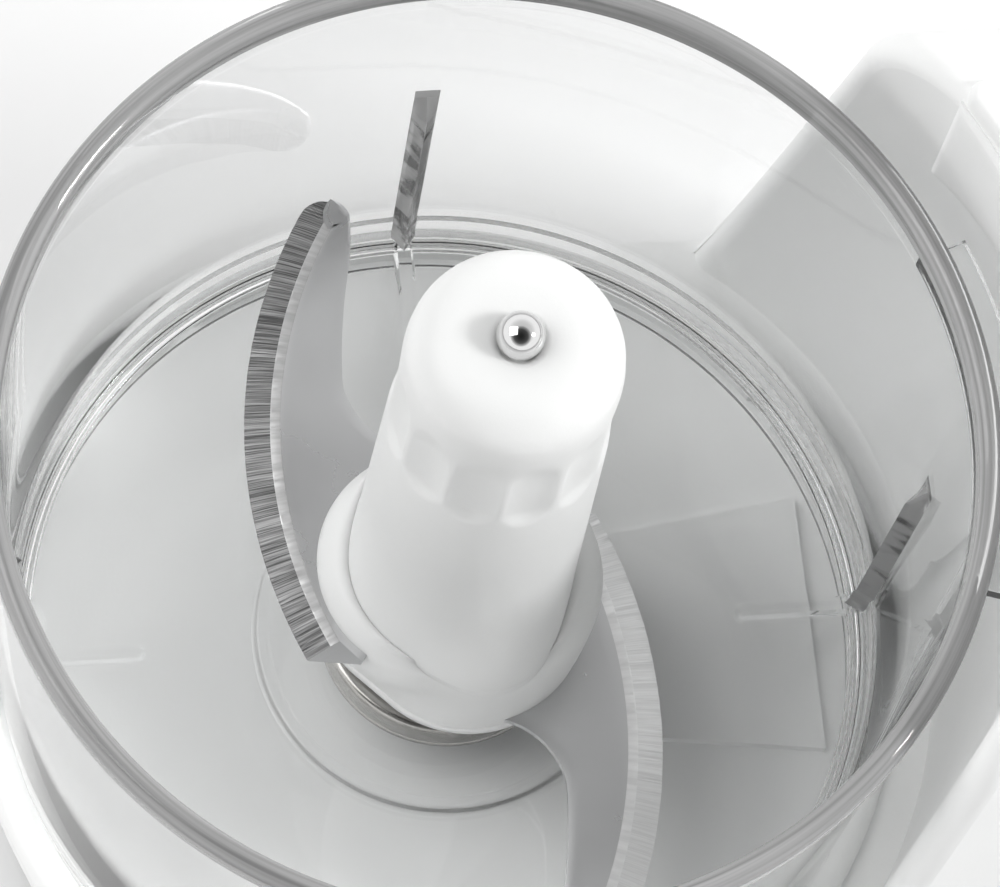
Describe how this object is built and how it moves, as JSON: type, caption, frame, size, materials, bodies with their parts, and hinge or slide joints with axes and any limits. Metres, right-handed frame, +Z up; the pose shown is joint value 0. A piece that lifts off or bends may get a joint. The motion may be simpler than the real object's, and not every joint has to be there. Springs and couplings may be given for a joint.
{
  "type": "food processor",
  "caption": "Compact belt-driven food processor: a clear round bowl with a curved two-bladed knife on a low plinth, in front of a motor tower with a control knob.",
  "frame": {"origin": "on the table under the middle of the whole object", "axes": "+Z up, +Y from the bowl towards the motor tower, +X to the right seen from the user's side"},
  "size_m": [0.184, 0.303, 0.2185],
  "materials": {
    "housing_plastic": "satin white moulding",
    "plate_plastic": "fine grained off-white moulding",
    "foot_rubber": "soft grey rubber",
    "screw_steel": "zinc plated",
    "cast_aluminium": "die cast",
    "bearing_steel": "ground, with pressed shields",
    "seal_rubber": "smooth black rubber",
    "shaft_steel": "ground",
    "pulley_plastic": "glass filled nylon",
    "belt_rubber": "ribbed drive belt",
    "core_steel": "stacked laminations",
    "winding_copper": "enamelled copper wire",
    "carrier_plastic": "thermoset moulding",
    "brush_carbon": "pressed carbon",
    "fan_plastic": "moulded",
    "capacitor_plastic": "potted box",
    "terminal_plastic": "moulded nylon",
    "gland_rubber": "soft white moulding",
    "switch_plastic": "moulded",
    "knob_plastic": "satin white moulding",
    "pointer_plastic": "grey moulding",
    "bowl_clear": "clear polished moulding",
    "bush_plastic": "acetal",
    "post_plastic": "white nylon",
    "collar_steel": "turned, worn",
    "blade_steel": "polished flats with a coarse ground bevel",
    "hub_plastic": "milky white moulding",
    "ball_steel": "mirror polished"
  },
  "bodies": {
    "base": {"housing": "housing_plastic", "tower_cap": "housing_plastic", "base_plate": "plate_plastic", "foot_left_front": "foot_rubber", "foot_right_front": "foot_rubber", "foot_left_back": "foot_rubber", "foot_right_back": "foot_rubber", "base_screws": "screw_steel", "bearing_carrier": "cast_aluminium", "carrier_screws": "screw_steel", "spindle_bearing_lower": "bearing_steel", "spindle_bearing_upper": "bearing_steel", "spindle_seal": "seal_rubber", "drive_belt": "belt_rubber", "motor_mounts": "seal_rubber", "lower_motor_bracket": "cast_aluminium", "motor_bearing_lower": "bearing_steel", "upper_motor_bracket": "cast_aluminium", "motor_bearing_upper": "bearing_steel", "stator": "core_steel", "field_coils": "winding_copper", "brush_carrier": "carrier_plastic", "carbon_brushes": "brush_carbon", "suppression_capacitor": "capacitor_plastic", "terminal_block": "terminal_plastic", "cord_gland": "gland_rubber", "rotary_switch": "switch_plastic", "interlock_bracket": "plate_plastic", "interlock_switch": "switch_plastic", "interlock_spring": "shaft_steel"},
    "rotor": {"motor_shaft": "shaft_steel", "motor_pulley": "pulley_plastic", "armature_core": "core_steel", "armature_windings": "winding_copper", "commutator": "winding_copper", "cooling_fan": "fan_plastic"},
    "spindle_unit": {"spindle": "shaft_steel", "driven_pulley": "pulley_plastic", "spindle_nut": "screw_steel", "spindle_circlip": "screw_steel"},
    "knob": {"control_knob": "knob_plastic", "knob_pointer": "pointer_plastic", "knob_shaft": "shaft_steel"},
    "lock_rod": {"interlock_rod": "knob_plastic"},
    "button": {"switch_button": "pointer_plastic"},
    "bowl_unit": {"bowl": "bowl_clear", "bowl_bush": "bush_plastic"},
    "drive_unit": {"drive_post": "post_plastic", "steel_collar": "collar_steel", "post_circlip": "screw_steel"},
    "knife": {"blade_collar": "hub_plastic", "hub_column": "hub_plastic", "hub_insert": "post_plastic", "upper_blade": "blade_steel", "lower_blade": "blade_steel", "steel_ball": "ball_steel"}
  },
  "joints": [
    {"name": "motor_spin", "type": "hinge", "parent": "base", "child": "rotor", "pos_m": [0, 0.0805, 0], "axis": [0, 0, 1], "continuous": true},
    {"name": "spindle_spin", "type": "hinge", "parent": "base", "child": "spindle_unit", "pos_m": [0, -0.0595, 0], "axis": [0, 0, 1], "continuous": true},
    {"name": "bowl_lift", "type": "slide", "parent": "base", "child": "bowl_unit", "axis": [0, 0, 1], "range_m": [0, 0.13]},
    {"name": "drive_spin", "type": "hinge", "parent": "bowl_unit", "child": "drive_unit", "pos_m": [0, -0.0595, 0], "axis": [0, 0, 1], "continuous": true},
    {"name": "knife_lift", "type": "slide", "parent": "drive_unit", "child": "knife", "axis": [0, 0, 1], "range_m": [0, 0.15]},
    {"name": "knob_turn", "type": "hinge", "parent": "base", "child": "knob", "pos_m": [0, 0.0675, 0], "axis": [0, 0, 1], "range_deg": [-40, 80]},
    {"name": "lock_press", "type": "slide", "parent": "base", "child": "lock_rod", "axis": [0, 0, -1], "range_m": [0, 0.003], "stiffness_N_per_m": 300, "springref_m": -0.002, "deforming": ["interlock_spring"]},
    {"name": "button_press", "type": "slide", "parent": "base", "child": "button", "axis": [0, 0, -1], "range_m": [0, 0.003], "stiffness_N_per_m": 30, "springref_m": -0.001}
  ],
  "couplings": [
    {"joint": "spindle_spin", "follows": "motor_spin", "ratio": 0.2},
    {"joint": "drive_spin", "follows": "motor_spin", "ratio": 0.2},
    {"joint": "button_press", "follows": "lock_press", "ratio": 1}
  ]
}
